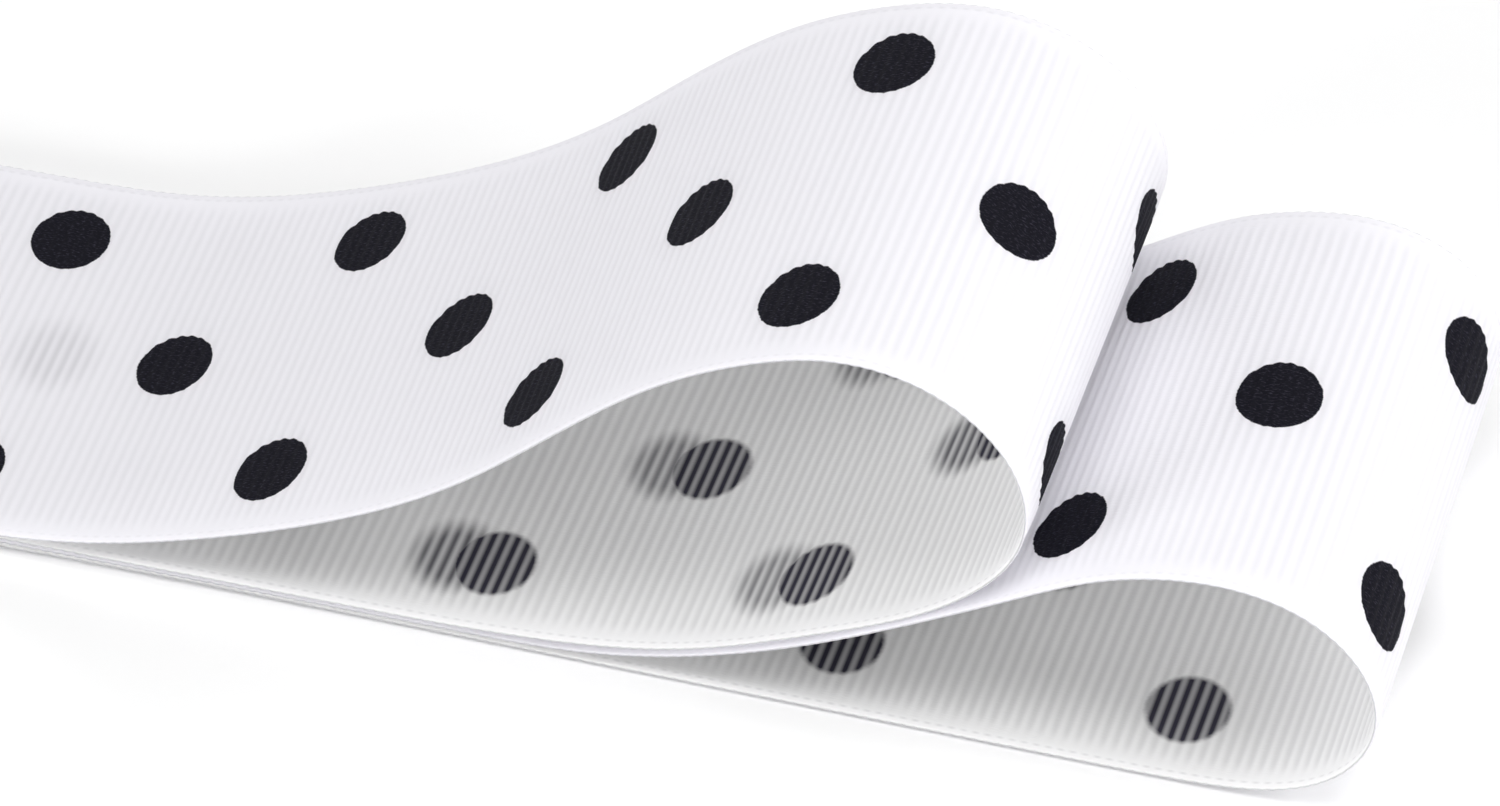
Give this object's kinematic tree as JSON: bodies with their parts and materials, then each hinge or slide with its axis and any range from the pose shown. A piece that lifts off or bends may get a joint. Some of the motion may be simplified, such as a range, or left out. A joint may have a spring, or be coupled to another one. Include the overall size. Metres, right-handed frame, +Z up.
{
  "type": "length of polka dot grosgrain ribbon in folds",
  "caption": "Flat ribbed ribbon lying on a surface in back-and-forth folds, with two open loops at one end.",
  "frame": {"origin": "centre of the bounding box in plan, at the height of the surface that the ribbon lies on", "axes": "+X along the ribbon towards the loops, +Y across the ribbon from the near edge to the far edge, +Z up"},
  "size_m": [0.1848, 0.0394, 0.0422],
  "materials": {
    "printed_grosgrain": "matte white woven cloth with cross ribs, black dots printed on one face"
  },
  "bodies": {
    "root": {"ribbon": "printed_grosgrain"}
  },
  "joints": []
}
